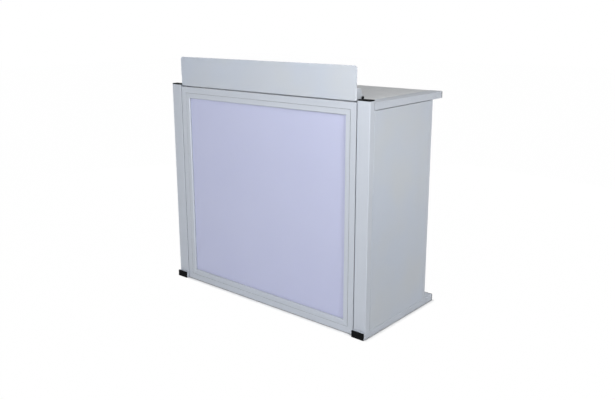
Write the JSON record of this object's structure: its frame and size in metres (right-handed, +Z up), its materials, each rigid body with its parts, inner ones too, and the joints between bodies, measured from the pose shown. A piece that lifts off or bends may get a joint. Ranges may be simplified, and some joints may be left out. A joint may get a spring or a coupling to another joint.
{
  "type": "dj booth",
  "caption": "Free-standing folding DJ booth: aluminium tube frame with an opal front panel, hinged side panels, a lift-off textured desk and a fold-back riser plate.",
  "frame": {"origin": "on the floor, under the middle of the booth's box", "axes": "+X to the right side as the audience sees it, +Y to the open back, +Z up"},
  "size_m": [1.14, 0.561, 1.099],
  "materials": {
    "aluminium_tube": "satin anodised",
    "aluminium_sheet": "smooth silver coated sheet",
    "aluminium_frame": "satin anodised",
    "opal_acrylic": "satin opal acrylic sheet",
    "black_plastic": "moulded black plastic",
    "textured_board": "plywood faced with a fine textured grey film",
    "zinc_steel": "zinc plated"
  },
  "bodies": {
    "base": {"runner_right": "aluminium_tube", "runner_left": "aluminium_tube", "runner_caps_front": "black_plastic", "runner_caps_rear": "black_plastic", "base_cross_rail": "aluminium_tube", "base_corner_brackets": "zinc_steel", "post_spigots": "black_plastic", "base_screws": "zinc_steel"},
    "front": {"post_right": "aluminium_tube", "post_left": "aluminium_tube", "post_cap_right": "black_plastic", "post_cap_left": "black_plastic", "frame_rail_top": "aluminium_frame", "frame_rail_bottom": "aluminium_frame", "frame_rail_left": "aluminium_frame", "frame_rail_right": "aluminium_frame", "frame_bezel_top": "aluminium_frame", "frame_bezel_bottom": "aluminium_frame", "frame_bezel_left": "aluminium_frame", "frame_bezel_right": "aluminium_frame", "opal_panel": "opal_acrylic", "frame_corner_keys": "aluminium_frame", "frame_spacers": "black_plastic", "frame_bolts": "zinc_steel", "desk_cleats": "zinc_steel", "desk_pegs": "zinc_steel", "cleat_screws": "zinc_steel", "post_hinge_plates": "zinc_steel", "hinge_pins": "zinc_steel", "post_hinge_screws": "zinc_steel"},
    "right_leaf": {"hinge_stile_right": "aluminium_tube", "rear_stile_right": "aluminium_tube", "leaf_top_rail_right": "aluminium_tube", "leaf_bottom_rail_right": "aluminium_tube", "side_panel_right": "aluminium_sheet", "leaf_hinge_plates_right": "zinc_steel", "leaf_hinge_screws_right": "zinc_steel"},
    "left_leaf": {"hinge_stile_left": "aluminium_tube", "rear_stile_left": "aluminium_tube", "leaf_top_rail_left": "aluminium_tube", "leaf_bottom_rail_left": "aluminium_tube", "side_panel_left": "aluminium_sheet", "leaf_hinge_plates_left": "zinc_steel", "leaf_hinge_screws_left": "zinc_steel"},
    "desk": {"desk_arm_right": "aluminium_tube", "desk_arm_left": "aluminium_tube", "desk_arm_caps": "black_plastic", "desk_front_rail": "aluminium_tube", "desk_rear_rail": "aluminium_tube", "desk_board": "textured_board", "desk_corner_brackets": "zinc_steel", "desk_screws": "zinc_steel", "riser_bracket_right": "zinc_steel", "riser_bracket_left": "zinc_steel", "riser_bracket_screws": "zinc_steel", "pivot_studs": "zinc_steel", "pivot_washers": "black_plastic"},
    "riser": {"riser_panel": "aluminium_sheet"},
    "right_knob": {"riser_knob_right": "black_plastic"},
    "left_knob": {"riser_knob_left": "black_plastic"}
  },
  "joints": [
    {"name": "front_lift", "type": "slide", "parent": "base", "child": "front", "axis": [0, 0, 1], "range_m": [0, 0.12]},
    {"name": "right_leaf_fold", "type": "hinge", "parent": "front", "child": "right_leaf", "pos_m": [0.536, -0.2305, 0.481], "axis": [0, 0, 1], "range_deg": [0, 90]},
    {"name": "left_leaf_fold", "type": "hinge", "parent": "front", "child": "left_leaf", "pos_m": [-0.536, -0.2305, 0.481], "axis": [0, 0, -1], "range_deg": [0, 90]},
    {"name": "desk_lift", "type": "slide", "parent": "front", "child": "desk", "axis": [0, 0, 1], "range_m": [0, 0.15]},
    {"name": "riser_fold", "type": "hinge", "parent": "desk", "child": "riser", "pos_m": [0, -0.225, 0.976], "axis": [-1, 0, 0], "range_deg": [0, 110]},
    {"name": "right_knob_turn", "type": "hinge", "parent": "desk", "child": "right_knob", "pos_m": [0.508, -0.225, 0.976], "axis": [1, 0, 0], "continuous": true},
    {"name": "left_knob_turn", "type": "hinge", "parent": "desk", "child": "left_knob", "pos_m": [-0.508, -0.225, 0.976], "axis": [-1, 0, 0], "continuous": true}
  ]
}
